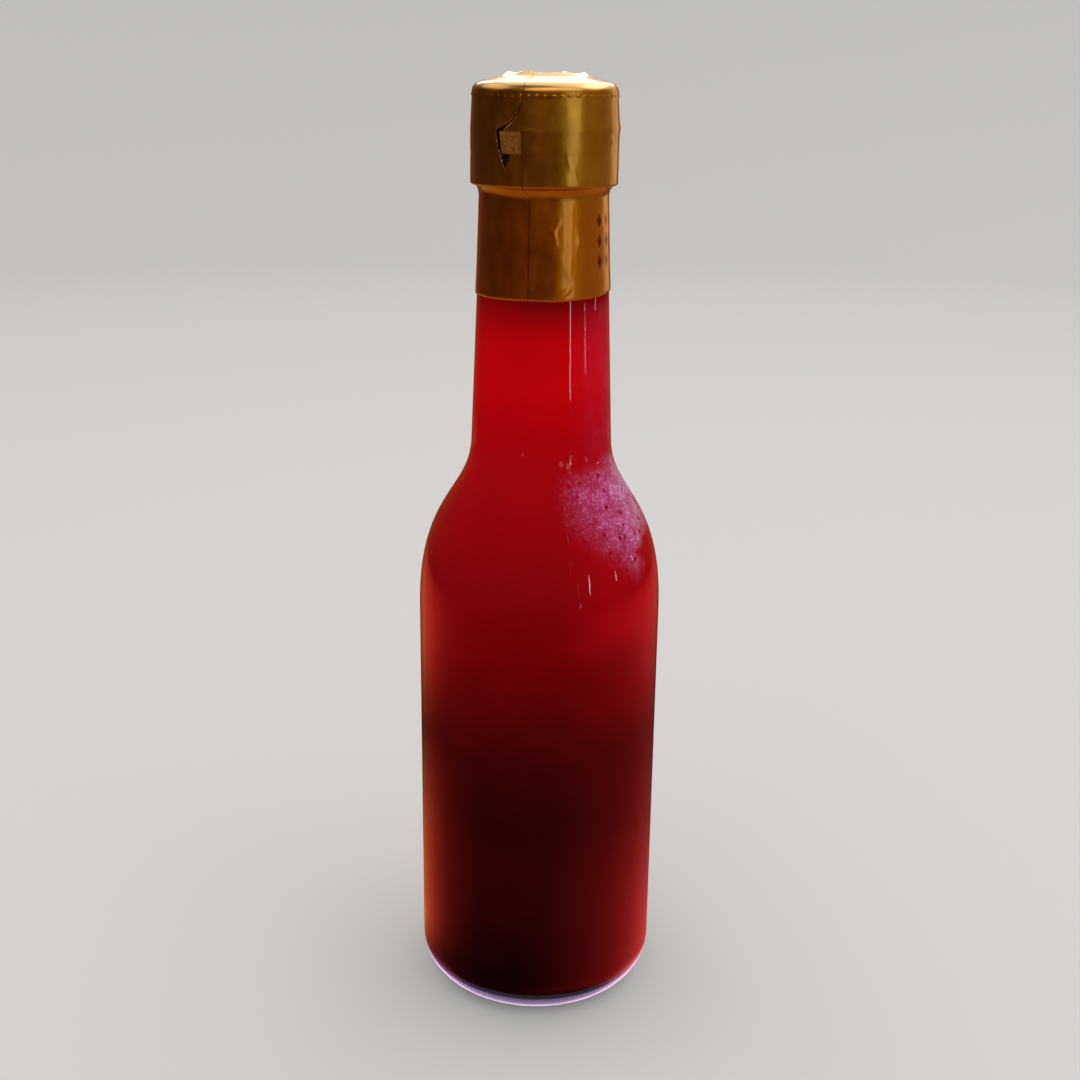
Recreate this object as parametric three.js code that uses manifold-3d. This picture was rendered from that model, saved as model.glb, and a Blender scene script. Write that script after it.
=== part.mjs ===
// A single-serve glass bottle of red turnip juice. A screw cap closes it, and a gold shrink capsule with a
// tear strip covers the cap and the upper neck. Millimetres, +Z up. The origin is the middle of the base,
// on the surface that the bottle stands on, and the front of the bottle faces -Y.
import * as THREE from "three";
import { mergeVertices } from "three/addons/utils/BufferGeometryUtils.js";
import Module from "manifold-3d";

// Driving dimensions of the glass
const BODY_DIAMETER = 51;
const HEEL_RADIUS = 8.75; // rounding between the base and the straight body
const SHOULDER_START = 87.6; // height where the straight body ends
const SHOULDER_FULLNESS = 23.65; // how far the shoulder keeps the body's direction
const NECK_START = 123.4; // height where the shoulder has become the neck
const NECK_FULLNESS = 11.8; // how far the shoulder has the neck's direction
const NECK_DIAMETER_LOW = 28.9; // at NECK_START
const NECK_DIAMETER_HIGH = 24.9; // just under the cap
const FINISH_DIAMETER = 24.4; // the plain mouth inside the cap
const FINISH_STEP = 1.5; // height over which the neck becomes the finish
const MOUTH_HEIGHT = 190.6;
const WALL = 2.4;
const BASE_THICKNESS = 3.6;
const PUNT_HEIGHT = 2.6; // how far the underside is pushed up in the middle
const BEARING_WIDTH = 2.6; // flat ring that the bottle stands on
const FILL_HEIGHT = 166; // level of the juice, behind the capsule

// Driving dimensions of the closure
const CAP_BASE = 174.9; // height of the cap's lower edge
const CAP_CHAMFER = 0.4; // on the cap's lower edge, outside
const CAP_LEAD_IN = 0.6; // widening of the cap's bore at its lower edge
const CAP_ROUNDING = 1.4; // on the cap's upper edge
const CAPSULE_EDGE = 153.4; // height of the capsule's lower edge on the neck
const CAPSULE_DIAMETER = 29.1; // over the cap
const CAPSULE_CROWN_DIAMETER = 28.5; // over the cap, just below the rounded top edge
const CROWN_HEIGHT = 191.9; // where the side of the capsule turns into the top
const CROWN_ROUNDING = 2.1;
const CROWN_TURN = 78; // degrees that the rounding turns before the sloping top begins
const TUCK_HEIGHT = 2.5; // the film leaves the neck this far below the cap
const TUCK_ROUNDING = 0.5; // of the film round the cap's lower edge
const TOP_HEIGHT = 195.5; // the raised middle of the capsule's top
const RAISED_RADIUS = 7.6; // radius of that raised middle
const RAISED_STEP = 0.6; // height of its sloping edge
const FILM = 0.2;
const STRIP_LOW = 180.7; // the tear strip that runs round the cap
const STRIP_HIGH = 185.2;
const STRIP_RELIEF = 0.12; // how far the strip stands out of the film
const STRIP_BEVEL = 0.1;

// Lumps of puckered film on the edge of the raised middle: degrees from the front, and height
const LUMPS = [
  [-27, 0.55],
  [-72, 0.25],
  [84, 0.3],
  [150, 0.35],
];
const LUMP_SPREAD = 12; // degrees
const LUMP_REACH = 1.8; // how far in and out a lump fades

// The torn end of the tear strip, left of the middle as seen from the front
const SEAM_ANGLE = -16.6; // degrees from the front, towards +X
const TAB_LENGTH = 5;
const TAB_THICKNESS = 0.22;
const TEAR_GAP = 0.7; // the film has torn away this far beyond the tab
const TEAR_DROP = 2.5; // and this far below it

const PLAY = 0.1; // between the film and what it covers
const CLEARANCE = 0.3; // between other pieces that touch
const SIDES = 48; // facets round the bottle

const wasm = await Module();
wasm.setup();

// Profiles are lists of (radius, height) points. They run up the outside, so the outside is on their right.
function arc(centre, radius, fromDegrees, toDegrees, steps) {
  const [from, to] = [fromDegrees, toDegrees].map(THREE.MathUtils.degToRad);
  return new THREE.EllipseCurve(...centre, radius, radius, from, to).getPoints(steps);
}

function bezier(corners, steps) {
  return new THREE.CubicBezierCurve(...line(...corners)).getPoints(steps);
}

function line(...corners) {
  return corners.map((corner) => new THREE.Vector2(...corner));
}

// Several stretches as one profile, without the points that two stretches share.
function joined(...stretches) {
  const shared = 1e-4;
  return stretches.flat().filter((p, i, all) => i === 0 || p.distanceTo(all[i - 1]) > shared);
}

// The profile moved sideways by a distance, outwards if positive, with its corners mitred.
function offset(profile, distance) {
  const sideOf = (i) => {
    const k = THREE.MathUtils.clamp(i, 0, profile.length - 2);
    const along = profile[k + 1].clone().sub(profile[k]).normalize();
    return new THREE.Vector2(along.y, -along.x);
  };
  return profile.map((p, i) => {
    const mitre = sideOf(i - 1).add(sideOf(i)).normalize();
    return p.clone().addScaledVector(mitre, distance / mitre.dot(sideOf(i)));
  });
}

// The stretch of a rising profile between two heights, cut cleanly at both ends.
function between(profile, low, high) {
  const at = (height) => {
    const i = profile.findIndex((p) => p.y >= height);
    const [below, above] = [profile[i - 1], profile[i]];
    return below.clone().lerp(above, (height - below.y) / (above.y - below.y));
  };
  return joined([at(low)], profile.filter((p) => p.y > low && p.y < high), [at(high)]);
}

// A profile turned about the Z axis, with its first edge at the front.
function turned(profile) {
  return new THREE.LatheGeometry(profile, SIDES).rotateX(Math.PI / 2);
}

function solidOf(geometry) {
  const bare = geometry.clone().deleteAttribute("normal").deleteAttribute("uv");
  const merged = mergeVertices(bare, 1e-3);
  const vertProperties = merged.getAttribute("position").array;
  const triVerts = new Uint32Array(merged.index.array);
  return new wasm.Manifold(new wasm.Mesh({ numProp: 3, vertProperties, triVerts }));
}

function geometryOf(solid) {
  const { vertProperties, triVerts } = solid.getMesh();
  const geometry = new THREE.BufferGeometry();
  geometry.setAttribute("position", new THREE.BufferAttribute(vertProperties, 3));
  geometry.setIndex(new THREE.BufferAttribute(triVerts, 1));
  return geometry;
}

function piece(name, geometry, color, roughness, metalness = 0) {
  const mesh = new THREE.Mesh(geometry, new THREE.MeshStandardMaterial({ color, roughness, metalness }));
  mesh.name = name;
  return mesh;
}

const bodyRadius = BODY_DIAMETER / 2;
const heelInside = bodyRadius - HEEL_RADIUS; // radius where the flat of the base ends
const neckLow = NECK_DIAMETER_LOW / 2;
const neckHigh = NECK_DIAMETER_HIGH / 2;
const neckLean = (neckLow - neckHigh) / (CAP_BASE - NECK_START);
const finishRadius = FINISH_DIAMETER / 2;
const lipRadius = WALL / 2; // the rim of the mouth is a half round

function neckRadius(height) {
  return neckLow - neckLean * (height - NECK_START);
}

// The outside of the glass above its base: heel, straight body, shoulder, tapering neck and plain finish.
const glassSide = joined(
  arc([heelInside, HEEL_RADIUS], HEEL_RADIUS, -90, 0, 7),
  bezier(
    [
      [bodyRadius, SHOULDER_START],
      [bodyRadius, SHOULDER_START + SHOULDER_FULLNESS],
      [neckRadius(NECK_START - NECK_FULLNESS), NECK_START - NECK_FULLNESS],
      [neckLow, NECK_START],
    ],
    14,
  ),
  line([neckHigh, CAP_BASE]),
  line([finishRadius, CAP_BASE + FINISH_STEP], [finishRadius, MOUTH_HEIGHT - lipRadius]),
);

// The inside of the glass from the middle of the floor up to a height, drawn in further by an inset.
function insideProfile(inset, top) {
  const floor = BASE_THICKNESS + inset;
  const middle = floor + PUNT_HEIGHT; // the floor follows the push-up of the base
  const corner = HEEL_RADIUS - WALL - inset;
  const dome = [
    [0, middle],
    [heelInside * 0.4, middle],
    [heelInside * 0.6, floor],
    [heelInside, floor],
  ];
  return joined(
    bezier(dome, 4),
    arc([heelInside, floor + corner], corner, -90, 0, 5),
    between(offset(glassSide, -WALL - inset), floor + corner, top),
  );
}

function bottle() {
  const ringInside = heelInside - BEARING_WIDTH;
  const punt = [
    [0, PUNT_HEIGHT],
    [ringInside * 0.5, PUNT_HEIGHT],
    [ringInside * 0.8, PUNT_HEIGHT * 0.6],
    [ringInside, 0],
  ];
  const lipBase = MOUTH_HEIGHT - lipRadius;
  const lip = arc([finishRadius - lipRadius, lipBase], lipRadius, 0, 180, 4);
  const profile = joined(bezier(punt, 4), glassSide, lip, insideProfile(0, lipBase).reverse());
  return piece("bottle", turned(profile), 0xdfe6e2, 0.05);
}

function juice() {
  const profile = joined(insideProfile(CLEARANCE, FILL_HEIGHT), line([0, FILL_HEIGHT]));
  return piece("juice", turned(profile), 0x8c0612, 0.2);
}

const skin = FILM + PLAY; // from what the film covers to its outside
const capsuleRadius = CAPSULE_DIAMETER / 2;
const crownRadius = CAPSULE_CROWN_DIAMETER / 2;
const capRadius = capsuleRadius - skin;
const capCrownRadius = crownRadius - skin;

// A screw cap whose outside carries the film and whose bore fits over the plain mouth.
function cap() {
  const bore = finishRadius + CLEARANCE;
  const ceiling = MOUTH_HEIGHT + CLEARANCE;
  const profile = joined(
    line([bore + CAP_LEAD_IN, CAP_BASE], [capRadius - CAP_CHAMFER, CAP_BASE]),
    line([capRadius, CAP_BASE + CAP_CHAMFER], [capRadius, STRIP_HIGH]),
    arc([capCrownRadius - CAP_ROUNDING, CROWN_HEIGHT], CAP_ROUNDING, 0, 90, 4),
    line([0, CROWN_HEIGHT + CAP_ROUNDING], [0, ceiling], [bore, ceiling]),
    line([bore, CAP_BASE + FINISH_STEP + CLEARANCE], [bore + CAP_LEAD_IN, CAP_BASE]),
  );
  return piece("cap", turned(profile), 0x2a1a12, 0.5);
}

// The outside of the film, from its lower edge on the neck up to the middle of its top.
function capsuleProfile() {
  const tuck = CAP_BASE - TUCK_HEIGHT;
  const under = CAP_BASE - skin; // underside of the film below the cap
  const tuckRadius = neckRadius(tuck) + skin;
  const turnRadius = capsuleRadius - TUCK_ROUNDING;
  const fullness = 0.55; // of the hollow between the neck and the cap, close to a quarter ellipse
  const hollow = [
    [tuckRadius, tuck],
    [tuckRadius, tuck + fullness * (under - tuck)],
    [turnRadius - fullness * (turnRadius - tuckRadius), under],
    [turnRadius, under],
  ];
  const stripRadius = capsuleRadius + STRIP_RELIEF;
  const raisedEdge = RAISED_RADIUS + 1.5 * RAISED_STEP;
  const shelf = TOP_HEIGHT - RAISED_STEP;
  return joined(
    line([neckRadius(CAPSULE_EDGE) + skin, CAPSULE_EDGE]),
    bezier(hollow, 5),
    arc([turnRadius, under + TUCK_ROUNDING], TUCK_ROUNDING, -90, 0, 3),
    line([capsuleRadius, STRIP_LOW - STRIP_BEVEL], [stripRadius, STRIP_LOW + STRIP_BEVEL]),
    line([stripRadius, STRIP_HIGH - STRIP_BEVEL], [capsuleRadius, STRIP_HIGH + STRIP_BEVEL]),
    arc([crownRadius - CROWN_ROUNDING, CROWN_HEIGHT], CROWN_ROUNDING, 0, CROWN_TURN, 4),
    line([raisedEdge, shelf], [RAISED_RADIUS, TOP_HEIGHT]),
    line([RAISED_RADIUS - LUMP_REACH, TOP_HEIGHT], [0, TOP_HEIGHT]),
  );
}

// Lifts the edge of the raised middle into soft lumps, the outer and inner face of the film alike.
function pucker(geometry) {
  const position = geometry.getAttribute("position");
  const point = new THREE.Vector3();
  for (let i = 0; i < position.count; i += 1) {
    point.fromBufferAttribute(position, i);
    const nearness = 1 - Math.abs(Math.hypot(point.x, point.y) - RAISED_RADIUS) / LUMP_REACH;
    if (point.z < CROWN_HEIGHT || nearness <= 0) continue;
    const around = THREE.MathUtils.radToDeg(Math.atan2(point.x, -point.y));
    for (const [angle, height] of LUMPS) {
      const away = THREE.MathUtils.euclideanModulo(around - angle + 180, 360) - 180;
      point.z += nearness * height * Math.exp(-((away / LUMP_SPREAD) ** 2));
    }
    position.setZ(i, point.z);
  }
  return geometry;
}

const stripMiddle = (STRIP_LOW + STRIP_HIGH) / 2;
const stripHalf = (STRIP_HIGH - STRIP_LOW) / 2;
const tabSpan = TAB_LENGTH / capsuleRadius; // radians round the cap
const tabAngle = THREE.MathUtils.degToRad(SEAM_ANGLE) - tabSpan / 2; // of the tab's middle

// The tear, a prism through the front of the film: the tab's place, a gap beyond it and a split below it.
function tearCutter() {
  const right = TAB_LENGTH / 2 + CLEARANCE / 2;
  const left = -TAB_LENGTH / 2;
  const top = stripHalf + CLEARANCE;
  const outline = line(
    [right, top],
    [left - 0.8 * TEAR_GAP, top],
    [left - TEAR_GAP, 0.2 * top],
    [left - 0.5 * TEAR_GAP, -top],
    [left + 0.4 * TEAR_GAP, -stripHalf - TEAR_DROP],
    [left + 1.4 * TEAR_GAP, -top],
    [right, -top],
  );
  const depth = capsuleRadius;
  const prism = new THREE.ExtrudeGeometry(new THREE.Shape(outline), { depth, bevelEnabled: false });
  prism.translate(0, 0, depth / 2).rotateX(Math.PI / 2).rotateZ(tabAngle);
  return prism.translate(0, 0, stripMiddle);
}

// The gold film, one thin shell with the tear cut out of it.
function capsule() {
  const outside = capsuleProfile();
  const shell = turned(joined(outside, offset(outside, -FILM).reverse(), [outside[0]]));
  const torn = solidOf(pucker(shell)).subtract(solidOf(tearCutter()));
  return piece("capsule", geometryOf(torn), 0xa87a1c, 0.35, 1);
}

// The loose end of the tear strip, a small curved plate that shows its plain paper side in the tear.
function tearTab() {
  const inner = capsuleRadius - FILM + PLAY / 2;
  const endGap = CLEARANCE / capsuleRadius;
  const from = (Math.PI - tabSpan) / 2 + endGap;
  const to = (Math.PI + tabSpan) / 2 - endGap;
  const section = new THREE.Shape();
  section.absarc(0, 0, inner + TAB_THICKNESS, from, to, false);
  section.absarc(0, 0, inner, to, from, true);
  const shape = { depth: STRIP_HIGH - STRIP_LOW, bevelEnabled: false, curveSegments: 8 };
  const mesh = piece("tear_tab", new THREE.ExtrudeGeometry(section, shape), 0xb98d55, 0.8);
  mesh.position.z = STRIP_LOW;
  mesh.rotation.z = Math.PI + tabAngle;
  return mesh;
}

const closure = new THREE.Group();
closure.add(cap(), capsule(), tearTab());

const turnipJuiceBottle = new THREE.Group();
turnipJuiceBottle.add(bottle(), juice(), closure);

export default turnipJuiceBottle;
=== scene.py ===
# %% [markdown]
# # A bottle of turnip juice
# A slim glass bottle, a dark red drink, and a gold shrink capsule that somebody has begun to tear open.
# Each step below makes one piece or one finish. The solid model is loaded first, and every piece is built
# where its solid is, in metres, with the front of the bottle towards -Y.

# %% Load the frame
import math
import random

import bmesh
import bpy
from mathutils import Matrix, Vector, geometry, noise


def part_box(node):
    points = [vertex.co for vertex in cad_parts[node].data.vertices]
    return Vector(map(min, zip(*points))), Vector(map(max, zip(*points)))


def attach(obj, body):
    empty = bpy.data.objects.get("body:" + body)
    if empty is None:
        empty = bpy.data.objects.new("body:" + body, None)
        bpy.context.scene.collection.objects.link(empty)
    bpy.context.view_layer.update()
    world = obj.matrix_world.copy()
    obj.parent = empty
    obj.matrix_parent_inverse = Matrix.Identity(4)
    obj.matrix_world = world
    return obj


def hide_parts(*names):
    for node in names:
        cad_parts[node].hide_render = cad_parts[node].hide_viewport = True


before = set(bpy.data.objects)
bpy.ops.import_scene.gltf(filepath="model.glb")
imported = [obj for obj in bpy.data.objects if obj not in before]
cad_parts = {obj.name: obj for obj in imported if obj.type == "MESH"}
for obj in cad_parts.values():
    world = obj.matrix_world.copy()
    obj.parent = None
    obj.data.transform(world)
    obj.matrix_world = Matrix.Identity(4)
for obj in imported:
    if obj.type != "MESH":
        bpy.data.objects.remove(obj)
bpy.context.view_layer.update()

MM = 0.001
print("solids:", sorted(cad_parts))

# %% [markdown]
# ## Camera
# The photograph was taken from close by, level with the top of the bottle and tilted down, so the body gets
# narrower towards its base. The place, tilt and focal length come from fitting a camera to the outline of
# the bottle. The hand that held it was not quite level, which is the small roll.

# %% Camera
CAMERA_DISTANCE = 300.6 * MM
CAMERA_HEIGHT = 196.1 * MM
CAMERA_TILT = 17.53  # degrees below the horizon
CAMERA_ROLL = 0.68
FOCAL_LENGTH = 49.66  # on a sensor 36 mm wide

camera_data = bpy.data.cameras.new("camera")
camera_data.lens = FOCAL_LENGTH
camera_data.sensor_width = 36.0
camera_data.clip_start = 0.01
camera = bpy.data.objects.new("camera", camera_data)
level = Matrix.Rotation(math.radians(90 - CAMERA_TILT), 4, "X")
rolled = Matrix.Rotation(math.radians(CAMERA_ROLL), 4, "Z")
camera.matrix_world = Matrix.Translation((0, -CAMERA_DISTANCE, CAMERA_HEIGHT)) @ level @ rolled
bpy.context.collection.objects.link(camera)
bpy.context.scene.camera = camera
print("camera at", tuple(round(c, 4) for c in camera.matrix_world.translation))

# %% [markdown]
# ## Node helpers
# A material is a small graph. One helper adds a node and fills its inputs, either with a plain value or with
# the output of another node, so that a material below reads from top to bottom like a recipe.

# %% Helpers for node graphs
def fill(tree, socket, value):
    """Gives an input a plain value, or joins it to the output of another node."""
    if isinstance(value, bpy.types.NodeSocket):
        tree.links.new(value, socket)
    else:
        socket.default_value = value


def give(tree, node, **inputs):
    """Fills a node's inputs by name, with _ for a space."""
    for name, value in inputs.items():
        fill(tree, node.inputs[name.replace("_", " ")], value)


def add(tree, kind, settings=None, **inputs):
    """Adds a node with its settings and its inputs."""
    made = tree.nodes.new("ShaderNode" + kind)
    for name, value in (settings or {}).items():
        setattr(made, name, value)
    give(tree, made, **inputs)
    return made


def maths(tree, operation, *values, clamp=False):
    """A Math node with its values in order. Returns its output."""
    made = add(tree, "Math", {"operation": operation, "use_clamp": clamp})
    for socket, value in zip(made.inputs, values):
        fill(tree, socket, value)
    return made.outputs[0]


def times(tree, first, *others):
    """All the values multiplied together."""
    for other in others:
        first = maths(tree, "MULTIPLY", first, other)
    return first


def blend_colours(tree, factor, first, second, way="MIX"):
    made = add(tree, "Mix", {"data_type": "RGBA", "blend_type": way})
    colour_inputs = [s for s in made.inputs if s.type == "RGBA"]
    for socket, value in zip([made.inputs[0], *colour_inputs], [factor, first, second]):
        fill(tree, socket, value)
    return next(s for s in made.outputs if s.type == "RGBA")


def colour_ramp(tree, factor, stops):
    """A colour ramp with stops of (position, colour)."""
    made = add(tree, "ValToRGB", Fac=factor)
    elements = made.color_ramp.elements
    while len(elements) < len(stops):
        elements.new(1.0)
    for element, (position, tone) in zip(elements, stops):
        element.position = position
        element.color = (*tone[:3], 1.0)
    return made.outputs["Color"]


def fade(tree, value, start, end):
    """A smooth 0 to 1 as the value goes from start to end."""
    smooth = {"interpolation_type": "SMOOTHSTEP"}
    return add(tree, "MapRange", smooth, Value=value, From_Min=start, From_Max=end).outputs["Result"]


def colour(red, green, blue):
    """A display colour, 0 to 255, as the linear colour that the shaders use."""
    linear = []
    for channel in (red, green, blue):
        part = channel / 255
        linear.append(part / 12.92 if part <= 0.04045 else ((part + 0.055) / 1.055) ** 2.4)
    return (*linear, 1.0)


def new_material(name):
    """A material with a Principled shader joined to its output."""
    made = bpy.data.materials.new(name)
    made.use_nodes = True
    tree = made.node_tree
    tree.nodes.clear()
    shader = add(tree, "BsdfPrincipled")
    output = add(tree, "OutputMaterial", Surface=shader.outputs[0])
    return made, tree, shader, output


def mix_shaders(tree, output, factor, first, second):
    """Shows one shader where the factor is 0 and another where it is 1."""
    mixed = add(tree, "MixShader", Fac=factor)
    fill(tree, mixed.inputs[1], first.outputs[0])
    fill(tree, mixed.inputs[2], second.outputs[0])
    give(tree, output, Surface=mixed.outputs[0])


print("helpers for node graphs are ready")

# %% [markdown]
# ## Shared effects
# Two effects are used by several finishes. The first says where a point is on the bottle: its angle from the
# front and its height. The second is a cloudy mottle, for film, paper and juice that are never quite even.
# Both are node groups, built once.

# %% Node groups: place on the bottle, and mottle
def new_group(name, inputs, outputs):
    """A group, with the outputs of its first node and its last node."""
    group = bpy.data.node_groups.new(name, "ShaderNodeTree")
    for socket_name, value in inputs.items():
        socket = group.interface.new_socket(socket_name, in_out="INPUT", socket_type="NodeSocketFloat")
        socket.default_value = value
    for socket_name in outputs:
        group.interface.new_socket(socket_name, in_out="OUTPUT", socket_type="NodeSocketFloat")
    return group, group.nodes.new("NodeGroupInput").outputs, group.nodes.new("NodeGroupOutput")


def place_group():
    group, _, ends = new_group("place_on_bottle", {}, ["Angle", "Height"])
    where = add(group, "TexCoord").outputs["Object"]
    x, y, z = add(group, "SeparateXYZ", Vector=where).outputs
    angle = maths(group, "ARCTAN2", x, maths(group, "MULTIPLY", y, -1.0))
    give(group, ends, Angle=maths(group, "DEGREES", angle), Height=z)
    return group


def mottle_group():
    settings = {"Size mm": 1.0, "Tallness": 1.0, "Detail": 3.0, "Low": 0.3, "High": 0.7}
    group, given, ends = new_group("mottle", settings, ["Mask", "Raw"])
    where = add(group, "TexCoord").outputs["Object"]
    across = maths(group, "DIVIDE", 1.0 / MM, given["Size mm"])
    upwards = maths(group, "DIVIDE", across, given["Tallness"])
    stretch = add(group, "CombineXYZ", X=across, Y=across, Z=upwards)
    scaled = add(group, "VectorMath", {"operation": "MULTIPLY"})
    fill(group, scaled.inputs[0], where)
    fill(group, scaled.inputs[1], stretch.outputs[0])
    cloud = add(group, "TexNoise", Vector=scaled.outputs[0], Scale=1.0, Detail=given["Detail"]).outputs[0]
    mask = add(group, "MapRange", Value=cloud, From_Min=given["Low"], From_Max=given["High"])
    give(group, ends, Mask=mask.outputs["Result"], Raw=cloud)
    return group


PLACE = place_group()
MOTTLE = mottle_group()


def place(tree):
    return add(tree, "Group", {"node_tree": PLACE}).outputs


def mottle(tree, size, tallness=1.0, detail=3.0, low=0.3, high=0.7):
    """The mottle group's outputs, for patches of a size in millimetres."""
    group = {"node_tree": MOTTLE}
    made = add(tree, "Group", group, Size_mm=size, Tallness=tallness, Detail=detail, Low=low, High=high)
    return made.outputs


print("node groups:", PLACE.name, MOTTLE.name)

# %% [markdown]
# ## Turned shapes
# Glass, drink and capsule are all turned: a profile goes round the axis. The profile is a list of radius and
# height, drawn from a few arcs and curves, and Blender's spin makes the surface from it. A wall is the same
# profile moved sideways.

# %% Helpers for turned shapes
HAIR = 1e-6  # less than this is no distance at all


def arc(centre, radius, first, last, steps):
    angles = [math.radians(first + (last - first) * i / steps) for i in range(steps + 1)]
    return [Vector(centre) + radius * Vector((math.cos(a), math.sin(a))) for a in angles]


def curve(start, leaving, arriving, end, steps):
    corners = [Vector(c) for c in (start, leaving, arriving, end)]
    return list(geometry.interpolate_bezier(*corners, steps + 1))


def straight(start, end, steps=1):
    return [Vector(start).lerp(Vector(end), i / steps) for i in range(steps + 1)]


def joined(*stretches):
    """Several stretches as one profile, without the points that two of them share."""
    profile = []
    for point in (p for stretch in stretches for p in stretch):
        if not profile or (point - profile[-1]).length > HAIR:
            profile.append(point)
    return profile


def moved_sideways(profile, distance):
    """The profile moved outwards by a distance, with its corners mitred."""
    sides = []
    for a, b in zip(profile, profile[1:]):
        along = (b - a).normalized()
        sides.append(Vector((along.y, -along.x)))
    moved = []
    for i, point in enumerate(profile):
        before, after = sides[max(i - 1, 0)], sides[min(i, len(sides) - 1)]
        mitre = (before + after).normalized()
        moved.append(point + mitre * (distance / mitre.dot(after)))
    return moved


def at_height(profile, height):
    """The point of a rising profile at a height, and the profile's direction there."""
    i = next(k for k, p in enumerate(profile) if p.y >= height - HAIR)
    below, above = profile[i - 1], profile[i]
    return below.lerp(above, (height - below.y) / (above.y - below.y)), (above - below).normalized()


def cut_at(profile, low, high):
    """The stretch of a rising profile between two heights."""
    inside = [p for p in profile if low + HAIR < p.y < high - HAIR]
    return [at_height(profile, low)[0], *inside, at_height(profile, high)[0]]


def turned(profile, segments, first=0, last=360):
    """The profile spun round the Z axis from one angle to another, in degrees from the front."""
    shape = bmesh.new()
    start = outwards(first)
    points = [shape.verts.new(start * p.x + Vector((0, 0, p.y))) for p in profile]
    lines = [shape.edges.new(pair) for pair in zip(points, points[1:])]
    bmesh.ops.spin(
        shape, geom=points + lines, axis=(0, 0, 1), cent=(0, 0, 0),
        angle=math.radians(last - first), steps=segments, use_merge=last - first == 360,
    )
    bmesh.ops.remove_doubles(shape, verts=shape.verts, dist=1e-7)
    bmesh.ops.recalc_face_normals(shape, faces=shape.faces)
    return shape


def angle_of(point):
    """Degrees from the front, towards +X."""
    return math.degrees(math.atan2(point.x, -point.y))


def outwards(angle):
    """The level direction away from the axis at an angle from the front."""
    turn = math.radians(angle)
    return Vector((math.sin(turn), -math.cos(turn), 0))


def new_object(name, shape, material):
    """An object with the shape as its mesh."""
    mesh = bpy.data.meshes.new(name)
    shape.to_mesh(mesh)
    shape.free()
    mesh.materials.append(material)
    made = bpy.data.objects.new(name, mesh)
    bpy.context.collection.objects.link(made)
    return made


def finished(name, shape, material, stands_for=None, sharp=35, wall=0):
    """A piece of the frame, smooth but for its sharp edges. A wall thickens an open surface inwards."""
    for face in shape.faces:
        face.smooth = True
    piece = new_object(name, shape, material)
    piece.data.set_sharp_from_angle(angle=math.radians(sharp))
    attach(piece, "root")
    if stands_for:
        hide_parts(stands_for)
    if wall:
        thickness = piece.modifiers.new("wall", "SOLIDIFY")
        thickness.thickness = wall
        thickness.offset = -1
    print(f"{name}: {len(piece.data.polygons)} faces")
    return piece


print("helpers for turned shapes are ready")

# %% [markdown]
# ## The glass
# The bottle is clear glass with a wall of a few millimetres, a heavy base that is pushed up in the middle,
# and a shoulder that flows into a tapering neck. The profile runs from the middle of the underside, round
# the heel, up the outside, over the lip and down the inside again, so that one spin makes a closed wall.

# %% Profile of the glass
BODY_RADIUS, _, MOUTH_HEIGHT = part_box("bottle")[1]
CAP_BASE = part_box("cap")[0].z
HEEL = 8.75 * MM
SHOULDER_START = 87.6 * MM
SHOULDER_FULLNESS = 23.65 * MM
NECK_START = 123.4 * MM
NECK_FULLNESS = 11.8 * MM
NECK_RADIUS_LOW = 14.45 * MM
NECK_RADIUS_HIGH = 12.45 * MM
FINISH_RADIUS = 12.2 * MM
FINISH_STEP = 1.5 * MM
WALL = 2.4 * MM
BASE_THICKNESS = 3.6 * MM
PUNT = 2.6 * MM
BEARING_WIDTH = 2.6 * MM
GLASS_SEGMENTS = 144

heel_inside = BODY_RADIUS - HEEL
lip = WALL / 2


def neck_radius(height):
    share = (height - NECK_START) / (CAP_BASE - NECK_START)
    return NECK_RADIUS_LOW + (NECK_RADIUS_HIGH - NECK_RADIUS_LOW) * share


glass_side = joined(
    arc((heel_inside, HEEL), HEEL, -90, 0, 16),
    straight((BODY_RADIUS, HEEL), (BODY_RADIUS, SHOULDER_START), 12),
    curve(
        (BODY_RADIUS, SHOULDER_START),
        (BODY_RADIUS, SHOULDER_START + SHOULDER_FULLNESS),
        (neck_radius(NECK_START - NECK_FULLNESS), NECK_START - NECK_FULLNESS),
        (NECK_RADIUS_LOW, NECK_START),
        36,
    ),
    straight((NECK_RADIUS_LOW, NECK_START), (NECK_RADIUS_HIGH, CAP_BASE), 10),
    straight((FINISH_RADIUS, CAP_BASE + FINISH_STEP), (FINISH_RADIUS, MOUTH_HEIGHT - lip), 2),
)


def inside_of_glass(inset, top):
    """The inside of the wall from the middle of the floor up to a height, drawn in by an inset."""
    floor = BASE_THICKNESS + inset
    corner = HEEL - WALL - inset
    return joined(
        curve(
            (0, floor + PUNT), (heel_inside * 0.4, floor + PUNT),
            (heel_inside * 0.6, floor), (heel_inside, floor), 12,
        ),
        arc((heel_inside, floor + corner), corner, -90, 0, 12),
        cut_at(moved_sideways(glass_side, -WALL - inset), floor + corner, top),
    )


ring_inside = heel_inside - BEARING_WIDTH
glass_profile = joined(
    curve((0, PUNT), (ring_inside * 0.5, PUNT), (ring_inside * 0.8, PUNT * 0.6), (ring_inside, 0), 12),
    glass_side,
    arc((FINISH_RADIUS - lip, MOUTH_HEIGHT - lip), lip, 0, 180, 10),
    inside_of_glass(0, MOUTH_HEIGHT - lip)[::-1],
)
print("glass profile points:", len(glass_profile))

# %% [markdown]
# Glass bends light, so its shader is a Principled surface with full transmission. A lamp can't be found
# through glass by a straight ray, and the drink behind would stay dark, so shadow rays and rays that leave
# the drink pass the wall as if it were clear air. A faint unevenness of the surface breaks up the highlights.

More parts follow.
